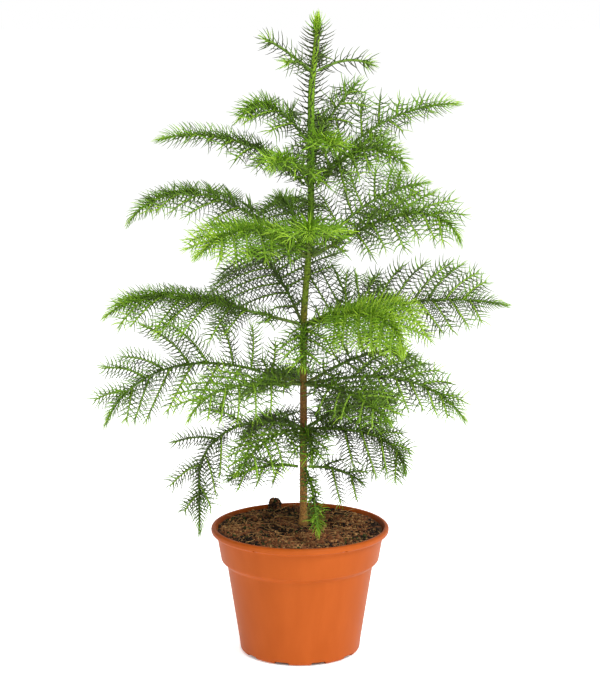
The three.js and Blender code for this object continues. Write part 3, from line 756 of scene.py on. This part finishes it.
# how young each frond's spray looks, from 0 for old dark growth to 1 for fresh lime; the values also hold
# painted light: fronds that lie in shade under the tiers above are set lighter, and the upper tiers darker as
# painted shade
sprayYouthAndLight = [
    [0.36, 0.34, 0.46], [0.39, 0.37, 0.36, 0.34, 0.47, 0.44], [0.48, 0.46, 0.45, 0.45, 0.53, 0.43],
    [0.42, 0.39, 0.38, 0.49, 0.48, 0.7], [0.48, 0.42, 0.44, 0.44, 0.62, 0.54], [0.48, 0.44, 0.46, 0.56, 0.54],
    [0.46, 0.56, 0.6], [0.32, 0.32, 0.32, 0.46],
]
frondShape = {
    "pathSteps": 40, "hangAngle": -90, "seat": 0.97, "clear": 0.3, "boughRoot": 1.6, "stemRoot": 1.3,
    "stemRadius": 1.5, "stemTipRadius": 0.9, "topThicker": 0.5, "stemFrom": 0.02, "stemSteps": 40,
    "boughRadius": 1.8, "boughSteps": 24, "boughSides": 12, "youthSpread": 0.04,
}
twigShape = {
    "first": 0.27, "last": 0.82, "spacing": 26, "stagger": 0.35, "baseAngle": 76, "tipAngle": 44,
    "sag": 0.22, "hang": 0.45, "sweep": 0.16, "steps": 14, "innerSteps": 10, "tubeSteps": 16,
    "radius": 1.1, "tipRadius": 0.75, "pointRadius": 0.25, "sides": 6,
    "taperSpan": 0.55, "footShorter": 0.22, "footFrom": 0.15, "footTo": 0.5,
    "placeSpread": 0.12, "lengthSpread": 0.12, "angleSpread": 7, "outerYouth": 0.3, "youthSpread": 0.05,
    "inner": [(0.14, 17)], "innerTiers": range(1, 6), "innerSpread": 0.2, "innerTurn": -14,
    "innerAngleSpread": 10, "innerYouth": -0.05, "innerYouthSpread": 0.06,
    "upright": {(2, 3): [(0.13, 34), (0.22, 46)], (3, 0): [(0.2, 44)], (1, 0): [(0.2, 36)]},
    "uprightTurn": 16,
}


def frondFrames(tier, frond):
    # the path rises from the trunk and droops, with its own side and upper directions all along
    f = frondShape
    azimuth, roll = math.radians(frond["azimuth"]), math.radians(frond["roll"])
    rise, steps = frond["rise"], f["pathSteps"]
    outward = np.array([math.cos(azimuth), math.sin(azimuth), 0])
    level = np.array([-math.sin(azimuth), math.cos(azimuth), 0])
    rootRadius = f["boughRoot"] if tier["bough"] else f["stemRoot"]
    start = f["seat"] * float(trunkRadius(tier["height"])) + f["clear"]
    start = start + rootRadius * abs(math.sin(math.radians(rise)))
    s = np.arange(steps + 1) / steps
    slope = np.radians(np.maximum(f["hangAngle"], rise - frond["droop"] * s ** frond["gather"]))
    ahead = np.cos(slope)[:, None] * outward + np.sin(slope)[:, None] * np.array([0, 0, 1])
    flatUp = np.cross(ahead, level)
    side = level * math.cos(roll) + flatUp * math.sin(roll)
    first = trunkCentre(tier["height"]) + outward * start
    strides = np.cumsum(ahead[:-1] * frond["length"] / steps, axis=0)
    return {"point": first + np.vstack([np.zeros(3), strides]), "ahead": ahead, "side": side,
            "up": np.cross(ahead, side)}


def frameAt(frames, s):
    # the frame at a share of the path, which stops just short of 1 so that there is always a next row
    place = np.clip(np.asarray(s, float), 0, 0.9999) * (len(frames["point"]) - 1)
    low = np.floor(place).astype(int)
    share = (place - low)[..., None]
    row = {key: rows[low] * (1 - share) + rows[low + 1] * share for key, rows in frames.items()}
    return {key: value if key == "point" else unit(value) for key, value in row.items()}


def twigLengthAt(s, tier):
    # shorter towards the frond's tip and, a little, near its foot
    t, start = twigShape, tier["taperFrom"]
    tip = tier["taper"] * float(ease(s, start, start + t["taperSpan"]))
    return 1 - tip - t["footShorter"] * (1 - float(ease(s, t["footFrom"], t["footTo"])))


def twigFrames(frames, s, hand, length, turn, sag, steps):
    # a side twig leaves the stem at an angle, sweeps forward and sags under its own weight
    root = frameAt(frames, s)
    angle = math.radians(blend(twigShape["baseAngle"], twigShape["tipAngle"], s) + turn)
    out = root["ahead"] * math.cos(angle) + root["side"] * hand * math.sin(angle)
    bend = root["ahead"] * twigShape["sweep"] - np.array([0, 0, sag])
    reach = length / np.linalg.norm(out + bend)
    t = np.linspace(0, 1, steps)[:, None]
    point = root["point"] + reach * (out * t + bend * t * t)
    ahead = unit(out + bend * 2 * t)
    side = unit(np.cross(np.broadcast_to(root["up"], ahead.shape), ahead))
    return {"point": point, "ahead": ahead, "side": side, "up": np.cross(ahead, side)}


# every shoot is one run that bears needles: its frames, length, age and thickness
shoots = []
boughRuns = []
twigRadii = (twigShape["radius"], twigShape["tipRadius"])


def addShoot(keys, frames, length, young, radii=twigRadii, stem=False, bare=0):
    shoots.append({"frames": frames, "length": length, "young": young, "tier": keys[0], "frond": keys,
                   "stem": stem, "bare": bare, "radius": radii})


def growStem(tier, keys, frond, frames, young):
    f = frondShape
    if tier["bough"]:
        boughRuns.append(frameAt(frames, np.linspace(0, tier["bough"], f["boughSteps"])))
    tipRadius = f["stemTipRadius"] + f["topThicker"] * (tier["pairs"] == 0)
    run = frameAt(frames, np.linspace(f["stemFrom"], 1, f["stemSteps"]))
    addShoot(keys, run, frond["length"], young, (f["stemRadius"], tipRadius), True, tier["bough"])


def growPairs(tier, keys, frond, frames, young):
    t = twigShape
    pairs = min(tier["pairs"], round(frond["length"] / t["spacing"]))  # fewer on a short frond
    step = (t["last"] - t["first"]) / max(1, pairs - 0.5)
    for i in range(pairs):
        for hand in (1, -1):
            twig = (*keys, i, hand)
            stagger = 0 if hand > 0 else t["stagger"]
            s = t["first"] + step * (i + stagger + t["placeSpread"] * jitter(*twig))
            length = frond["length"] * frond["twig"] * twigLengthAt(s, tier)
            length = length * (1 + t["lengthSpread"] * jitter(*twig, 7))
            low = hand * frond["roll"] < 0  # on the side that roll turns down
            length *= frond["lower"] if low else 1
            sag = t["hang"] if low else t["sag"]
            run = twigFrames(frames, s, hand, length, t["angleSpread"] * jitter(*twig, 3), sag, t["steps"])
            age = young + t["outerYouth"] * (s - 0.5) + t["youthSpread"] * jitter(*twig, 9)
            addShoot(keys, run, length, age)


def growInner(keys, frames, young):
    # short inner twigs that fill the whorl
    t = twigShape
    for i, (s, inner) in enumerate(t["inner"]):
        for hand in (1, -1):
            twig = (*keys, i, hand)
            length = inner * (1 + t["innerSpread"] * jitter(*twig, 11))
            turn = t["innerTurn"] + t["innerAngleSpread"] * jitter(*twig, 13)
            run = twigFrames(frames, s, hand, length, turn, t["sag"], t["innerSteps"])
            addShoot(keys, run, length, young + t["innerYouth"] + t["innerYouthSpread"] * jitter(*twig, 15))


def growUpright(keys, frond, frames, young):
    # a few more near the foot of the sparse fronds, on the side that roll turns up
    t = twigShape
    hand = 1 if frond["roll"] > 0 else -1
    for s, length in t["upright"].get(keys, []):
        addShoot(keys, twigFrames(frames, s, hand, length, t["uprightTurn"], 0, t["steps"]), length, young)


for tierIndex, tier in enumerate(tiers):
    for frondIndex, row in enumerate(tier["fronds"]):
        keys = (tierIndex, frondIndex)
        frond = dict(zip(frondValues, row))
        frames = frondFrames(tier, frond)
        # each frond's tint level: its spray's age, with painted light for shaded fronds
        young = sprayYouthAndLight[tierIndex][frondIndex] + frondShape["youthSpread"] * jitter(*keys, 5)
        growStem(tier, keys, frond, frames, young)
        growPairs(tier, keys, frond, frames, young)
        if tierIndex in twigShape["innerTiers"]:
            growInner(keys, frames, young)
        growUpright(keys, frond, frames, young)
print("shoots", len(shoots), "twig metres", round(sum(s["length"] for s in shoots) / 1000, 1))


def joinTubes(runs):
    allPoints, allFaces, base = [], [], 0
    for points, faces in runs:
        allPoints.append(points)
        allFaces.append(faces + base)
        base += len(points)
    return np.vstack(allPoints), np.vstack(allFaces)


def makeBoughs(material):
    rows = []
    sides = frondShape["boughSides"]
    turn = circle(sides)
    for run in boughRuns:
        steps = len(run["point"])
        radii = np.linspace(frondShape["boughRadius"], frondShape["stemRadius"], steps)
        strength = np.full(steps, barkShape["boughRelief"])
        relief = barkRelief(run["point"] * barkShape["boughFiner"], turn, strength)
        points, faces = tube(run["point"], run["side"], run["up"], radii, sides)
        out = np.cos(turn)[None, :, None] * run["side"][:, None]
        out = out + np.sin(turn)[None, :, None] * run["up"][:, None]
        rows.append(closeTube(points + (relief[..., None] * out).reshape(-1, 3), faces, sides))
    points, faces = joinTubes(rows)
    return meshPiece("bough_bark", points * mm, faces, material)


def twigTree():
    # sweeps a round section along every path, as thick as the path's own radius says
    tree, given, result = newNodeTree("twigTubes", [
        ("Sides", "NodeSocketInt"), ("Material", "NodeSocketMaterial")])
    paths = addNode(tree, "GeometryNodeMeshToCurve", links={"Mesh": given.outputs["Geometry"]})
    thick = addNode(tree, "GeometryNodeInputNamedAttribute", {"data_type": "FLOAT", "Name": "thick"})
    section = addNode(tree, "GeometryNodeCurvePrimitiveCircle", {"Radius": 1.0}, {
        "Resolution": given.outputs["Sides"]})
    tubes = addNode(tree, "GeometryNodeCurveToMesh", {"Fill Caps": True}, {
        "Curve": paths.outputs[0], "Profile Curve": section.outputs["Curve"],
        "Scale": thick.outputs["Attribute"]})
    return endTree(tree, given, result, tubes.outputs[0])


def makeTwigs(name, members, material):
    points, thick, edges = [], [], []
    for shoot in members:
        run = frameAt(shoot["frames"], np.linspace(shoot["bare"], 1, twigShape["tubeSteps"]))["point"]
        radii = np.linspace(shoot["radius"][0], shoot["radius"][1], len(run))
        radii[-1] = twigShape["pointRadius"]
        base = len(points)
        points += list(run)
        thick += list(radii)
        edges += [(base + i, base + i + 1) for i in range(len(run) - 1)]
    mesh = bpy.data.meshes.new(name)
    mesh.from_pydata((np.array(points) * mm).tolist(), edges, [])
    layer = mesh.attributes.new("thick", "FLOAT", "POINT")
    layer.data.foreach_set("value", np.array(thick, np.float32) * mm)
    piece = bakeNodes(linkPiece(name, mesh), twigTubes, {"Sides": twigShape["sides"], "Material": material})
    smoothFaces(piece.data)
    return piece


def boughBark():
    # young bark of the boughs: olive green skin with rusty flecks and darker scars
    return patterned("bough bark", {"Roughness": 0.7}, {
        "size": 2.2, "detail": 4, "uneven": 0.65,
        "tints": [(0.3, "#39431A"), (0.5, "#56701F"), (0.72, "#7C6A2C")]})


boughs = makeBoughs(boughBark())
settle(boughs, "bough", *[n for n in nodeNames if n.startswith("bough_")])
print("boughs", len(boughRuns), "runs,", len(boughs.data.polygons), "faces")
twigTubes = twigTree()
for label, hexText, main in (("main stem", "#608028", True), ("green twig", "#84A832", False)):
    runs = [shoot for shoot in shoots if shoot["stem"] == main]
    twigs = makeTwigs(label.replace(" ", "_") + "s", runs, mottled(label, hexText, 0.25, 6, 0.6))
    settle(twigs, "needles", *[n for n in nodeNames if main and n.startswith("frond_")])
    print(label, len(runs), "runs,", len(twigs.data.polygons), "faces")


# needles: incurved awls, set round every shoot in a spiral and coloured by the age of the spray, with painted
# light on upturned needles and in shaded fronds

needleShape = {
    "profile": ((0.0, 1.3), (0.45, 1.0), (0.82, 0.66)), "bow": 0.38, "slimness": 0.037, "slimmer": 0.015,
    "perMillimetre": [1.2, 1.2, 1.02, 1.06, 0.96, 0.86, 0.72, 0.46], "fewest": 6,
    "lengths": [11.2, 13.0, 13.8, 13.8, 14.2, 14.8, 15.4, 15.6], "lengthSpread": (0.9, 1.06),
    "ranks": 5, "stemRanks": 7, "stemDenser": 1.35, "crowding": 0.94, "stemCrowding": 0.72,
    "placeSpread": (0.3, 0.7), "turnSpread": 0.1, "combed": 0.55, "raised": 0.15, "rootDepth": 0.7,
    "lean": 77, "tipLean": 26, "leanSpread": 2.5, "tipFrom": 0.84,
    "shortFrom": 0.86, "tipShorter": 0.5, "footSpan": 0.06, "footLength": 0.75,
    "tuft": {7: 22}, "tuftFrom": 0.8, "tuftLength": 0.75, "tuftYouth": 0.3,
    "outerFrom": 0.45, "outerYouth": 0.16, "tipYouth": 0.14, "mixed": 0.13, "paintedTopLight": 0.1,
    "bushy": {
        (6, 1): 1.6, (5, 2): 1.15, (4, 1): 0.85, (4, 4): 1.25, (3, 1): 0.6, (3, 5): 1.25,
        (2, 0): 0.9, (2, 1): 0.7, (2, 2): 0.65, (2, 4): 0.6, (2, 5): 0.8,
        (1, 0): 1.25, (1, 1): 1.2, (1, 2): 0.65, (1, 4): 0.65},
    "seed": 1000, "mostInPiece": 11000, "roughness": 0.5,
    "tints": [("old needle", "#2C321E"), ("grown needle", "#434E2A"), ("summer needle", "#516E1D"),
              ("young needle", "#74A01F"), ("tip needle", "#A0C634")],
}
leaderShape = {
    "needles": 340, "from": 205, "crowding": 1.35, "ranks": 5, "twist": 0.004, "turnSpread": 0.12,
    "tipLean": 36, "lean": 86, "leanFrom": -3, "leanTo": 14, "leanSpread": 5, "rootDepth": 0.9, "broad": 1.05,
    "length": 17.0, "lowLength": 11.5, "lowFrom": 100, "lowTo": 280, "lengthSpread": (0.9, 1.08),
    "tipSpan": 18, "tipLength": 0.6, "tipYouth": 0.9, "youth": 0.22,
    "sparse": 0.5, "sparseFrom": 230, "sparseTo": 370, "seed": 900,
}
budShape = {
    "needles": 56, "span": 16, "turn": 2.4, "tipLean": 14, "lean": 62, "leanSpread": 5, "rootDepth": 0.8,
    "lengths": (7, 10.5), "broad": 1.5, "tipYouth": 0.9, "youth": 0.5, "seed": 901,
}


def makeNeedle():
    # a slim three-sided awl along Z that curves towards X, one unit long
    n = needleShape
    points, faces = [], []
    for t, r in n["profile"]:
        for turn in (180, 300, 60):
            a = math.radians(turn)
            slim = r * n["slimness"]
            points.append((slim * math.cos(a) + n["bow"] * t * t, slim * math.sin(a), t))
    points.append((n["bow"], 0, 1))
    for a in (0, 3):
        for j in range(3):
            k = (j + 1) % 3
            faces += [(a + j, a + k, a + 3 + k), (a + j, a + 3 + k, a + 3 + j)]
    faces += [(6, 7, 9), (7, 8, 9), (8, 6, 9), (0, 2, 1)]
    return templatePiece("needle_shape", points, faces, True)


def plainGreen(name, hexText, roughness):
    # living green tissue: a plain deep colour under a thin waxy skin that gives a soft shine
    values = {"Base Color": linearColour(hexText), "Roughness": roughness, "Specular IOR Level": 0.22}
    return newMaterial(name, values)[0]


def aimNeedles(ahead, radial, lean):
    # needles lean out from the shoot, and bow forward along it
    aim = unit(ahead * np.cos(lean)[:, None] + radial * np.sin(lean)[:, None])
    return aim, unit(ahead - aim * np.sum(ahead * aim, axis=1, keepdims=True))


def shootNeedles(shoot, seed):
    # one row per needle: root, aim, bend direction, scale and age
    n, stem = needleShape, shoot["stem"]
    rng = np.random.default_rng(seed)
    dense, ranks, crowding, flat = n["perMillimetre"][shoot["tier"]], n["ranks"], n["crowding"], n["combed"]
    if stem:
        dense, ranks, crowding, flat = dense * n["stemDenser"], n["stemRanks"], n["stemCrowding"], 1
    count = max(n["fewest"], int(shoot["length"] * dense * n["bushy"].get(shoot["frond"], 1)))
    t = ((np.arange(count) + rng.uniform(*n["placeSpread"], count)) / count) ** crowding
    if stem:  # the topmost fronds end in a tuft
        t = np.concatenate([t, rng.uniform(n["tuftFrom"], 1, n["tuft"].get(shoot["tier"], 0))])
    fresh = np.arange(len(t)) >= count
    count = len(t)
    at = frameAt(shoot["frames"], t)
    turn = (np.arange(count) * 2 % ranks) * 2 * math.pi / ranks + rng.uniform(0, 6.28)
    turn = turn + rng.normal(0, n["turnSpread"], count)
    radial = np.cos(turn)[:, None] * at["side"] + flat * np.sin(turn)[:, None] * at["up"]
    radial = unit(radial + n["raised"] * at["up"])
    tip = ease(t, n["tipFrom"], 1)
    lean = np.radians(blend(n["lean"], n["tipLean"], tip) + rng.normal(0, n["leanSpread"], count))
    aim, bend = aimNeedles(at["ahead"], radial, lean)
    radius = blend(shoot["radius"][0], shoot["radius"][1], t)
    root = at["point"] + radial * (radius * n["rootDepth"])[:, None]
    size = n["lengths"][shoot["tier"]] * rng.uniform(*n["lengthSpread"], count)
    size = size * (1 - n["tipShorter"] * ease(t, n["shortFrom"], 1))
    size = size * (n["footLength"] + (1 - n["footLength"]) * ease(t, 0, n["footSpan"]))
    size = size * np.where(fresh, n["tuftLength"], 1)
    # younger towards the tip, each needle a shade off its neighbours, and a lighter tint on upturned needles
    # as painted light on the upper side
    age = shoot["young"] + n["outerYouth"] * ease(t, n["outerFrom"], 1.0) + n["tipYouth"] * tip
    age = age + n["paintedTopLight"] * radial[:, 2] + n["mixed"] * rng.uniform(-1, 1, count) + n["tuftYouth"] * fresh
    broad = np.full(count, 1 - n["slimmer"] * shoot["tier"])
    return root, aim, bend, np.stack([size * broad, size * broad, size], -1), age


def roundTrunk(n, z, turn, lean):
    # roots, aims and bends of needles that stand round the trunk
    radial = np.stack([np.cos(turn), np.sin(turn), np.zeros_like(turn)], -1)
    root = trunkCentre(z) + radial * (trunkRadius(z) * n["rootDepth"])[:, None]
    return root, *aimNeedles(np.tile([0, 0, 1.0], (len(z), 1)), radial, np.radians(lean))


def leaderNeedles():
    # the leader keeps its needles; lower down they thin out and stop
    n = leaderShape
    rng = np.random.default_rng(n["seed"])
    count, tip = n["needles"], trunkShape["tip"]
    z = tip - (tip - n["from"]) * ((np.arange(count) + 0.5) / count) ** n["crowding"]
    turn = (np.arange(count) * 2 % n["ranks"]) * 2 * math.pi / n["ranks"] + n["twist"] * z
    turn = turn + rng.normal(0, n["turnSpread"], count)
    lean = blend(n["tipLean"], n["lean"], ease(tip - z, n["leanFrom"], n["leanTo"]))
    root, aim, bend = roundTrunk(n, z, turn, lean + rng.normal(0, n["leanSpread"], count))
    size = blend(n["length"], n["lowLength"], ease(tip - z, n["lowFrom"], n["lowTo"]))
    size = size * rng.uniform(*n["lengthSpread"], count)
    below = ease(tip - z, 0, n["tipSpan"])
    size = size * blend(n["tipLength"], 1, below)
    sparse = blend(1.0, n["sparse"], ease(tip - z, n["sparseFrom"], n["sparseTo"]))
    keep = rng.uniform(0, 1, count) < sparse
    age = blend(n["tipYouth"], n["youth"], below)
    return root[keep], aim[keep], bend[keep], size[keep][:, None] * [n["broad"], n["broad"], 1], age[keep]


def budNeedles():
    # short bright needles, packed steeply round the bud at the very tip
    n = budShape
    rng = np.random.default_rng(n["seed"])
    count = n["needles"]
    down = np.linspace(0, 1, count)
    z = trunkShape["tip"] - n["span"] * down
    lean = blend(n["tipLean"], n["lean"], down) + rng.normal(0, n["leanSpread"], count)
    root, aim, bend = roundTrunk(n, z, np.arange(count) * n["turn"], lean)
    size = rng.uniform(*n["lengths"], count)
    age = blend(n["tipYouth"], n["youth"], down)
    return root, aim, bend, size[:, None] * [n["broad"], n["broad"], 1], age


clouds = [shootNeedles(shoot, needleShape["seed"] + index) for index, shoot in enumerate(shoots)]
clouds += [leaderNeedles(), budNeedles()]
root, aim, bend, size, age = [np.concatenate([cloud[i] for cloud in clouds]) for i in range(5)]
tints = needleShape["tints"]
# each needle takes the tint of its age, which also carries the painted light
pick = np.clip(np.floor(age * len(tints)), 0, len(tints) - 1).astype(int)
needle = makeNeedle()
for tint, (label, hexText) in enumerate(tints):
    mine = np.flatnonzero(pick == tint)
    green = plainGreen(label, hexText, needleShape["roughness"])
    shares = np.array_split(mine, math.ceil(len(mine) / needleShape["mostInPiece"]))
    for i, share in enumerate(shares):
        name = f"{label.replace(' ', '_')}s_{i + 1}"
        piece = scatterPiece(name, needle, root[share], aim[share], bend[share], size[share], green)
        settle(piece, "needles")
        print(name, len(share), "needles,", len(piece.data.polygons), "faces")

for shape in (crumb, chip, fibre, needle):
    bpy.data.objects.remove(shape)


# stage: a white sweep, soft light from the right and the camera at the photograph's place

stage = {
    "cameraBack": 1.8, "cameraUp": 0.625, "pitch": 9.97, "focalPixels": 1885, "imageLong": 683,
    "sensor": 36, "nearest": 0.05, "floorHalf": 60, "floorDrop": 0.0004,
    "glow": 0.7, "glowFrom": 53, "glowTo": 61, "aim": (0, 0, 0.3),
    "lights": [("key_light", (1.1, -1.2, 1.7), 0.8, 36), ("top_light", (-0.4, 0.2, 2.0), 0.9, 16),
               ("low_fill", (0.3, -2.1, 0.25), 1.0, 13)],  # name, place, size and power
}


def makeFloor():
    # white paper that glows evenly, but not under the pot: the glow fades out from just past the pot's foot
    # inwards, which leaves a faint painted contact shadow round it
    material, tree, shader = newMaterial("white paper", {
        "Base Color": (0.95, 0.95, 0.95, 1), "Roughness": 0.9, "Specular IOR Level": 0.0,
        "Emission Color": (1, 1, 1, 1)})
    place = addNode(tree, "ShaderNodeTexCoord").outputs["Object"]
    away = addNode(tree, "ShaderNodeVectorMath", {"operation": "LENGTH"}, {0: place})
    lit = addNode(tree, "ShaderNodeMapRange", {
        "From Min": stage["glowFrom"] * mm, "From Max": stage["glowTo"] * mm,
        "To Min": 0.0, "To Max": stage["glow"]}, {"Value": away.outputs["Value"]})
    tree.links.new(lit.outputs[0], shader.inputs["Emission Strength"])
    half, drop = stage["floorHalf"], -stage["floorDrop"]
    corners = [(-half, -half, drop), (half, -half, drop), (half, half, drop), (-half, half, drop)]
    meshPiece("studio_floor", corners, [(0, 1, 2, 3)], material)


def makeWorld():
    # white walls all round under a dimmer ceiling, shaded high up on the left and behind the camera
    world = bpy.data.worlds.new("studio")
    world.use_nodes = True
    tree = world.node_tree
    background = tree.nodes["Background"]
    background.inputs["Color"].default_value = (1, 1, 1, 1)
    way = addNode(tree, "ShaderNodeTexCoord").outputs["Generated"]
    height = addNode(tree, "ShaderNodeSeparateXYZ", links={"Vector": way})
    glow = addNode(tree, "ShaderNodeMapRange", {
        "From Min": 0.1, "From Max": 0.45, "To Min": 1.0, "To Max": 0.42}, {"Value": height.outputs["Z"]})
    wall, front = [
        addNode(tree, "ShaderNodeMapRange", {
            "From Min": -0.9, "From Max": -0.25, "To Min": least, "To Max": 1.0}, {
            "Value": height.outputs[axis]})
        for axis, least in (("X", 0.3), ("Y", 0.5))
    ]
    shade = addNode(tree, "ShaderNodeMath", {"operation": "MULTIPLY"}, {
        0: wall.outputs[0], 1: front.outputs[0]})
    above = addNode(tree, "ShaderNodeMapRange", {"From Min": 0.1, "From Max": 0.25, "To Min": 1.0}, {
        "Value": height.outputs["Z"], "To Max": shade.outputs[0]})
    both = addNode(tree, "ShaderNodeMath", {"operation": "MULTIPLY"}, {
        0: glow.outputs[0], 1: above.outputs[0]})
    tree.links.new(both.outputs[0], background.inputs["Strength"])
    bpy.context.scene.world = world


def makeLights():
    for name, place, size, power in stage["lights"]:
        data = bpy.data.lights.new(name, "AREA")
        data.size = size
        data.energy = power
        light = linkPiece(name, data)
        light.location = place
        x, y, z = np.array(stage["aim"]) - np.array(place)
        light.rotation_euler = (math.atan2(math.hypot(x, y), -z), 0, math.atan2(y, x) - math.pi / 2)


def makeCamera():
    camera = bpy.data.cameras.new("photo_camera")
    camera.sensor_width = stage["sensor"]
    camera.lens = stage["sensor"] * stage["focalPixels"] / stage["imageLong"]
    camera.clip_start = stage["nearest"]
    view = linkPiece("photo_camera", camera)
    view.location = (0, -stage["cameraBack"], stage["cameraUp"])
    view.rotation_euler = (math.radians(90 - stage["pitch"]), 0, 0)
    bpy.context.scene.camera = view
    bpy.context.scene.view_settings.view_transform = "Standard"


makeFloor()
makeWorld()
makeLights()
makeCamera()
print("stage with", len(stage["lights"]), "lights")
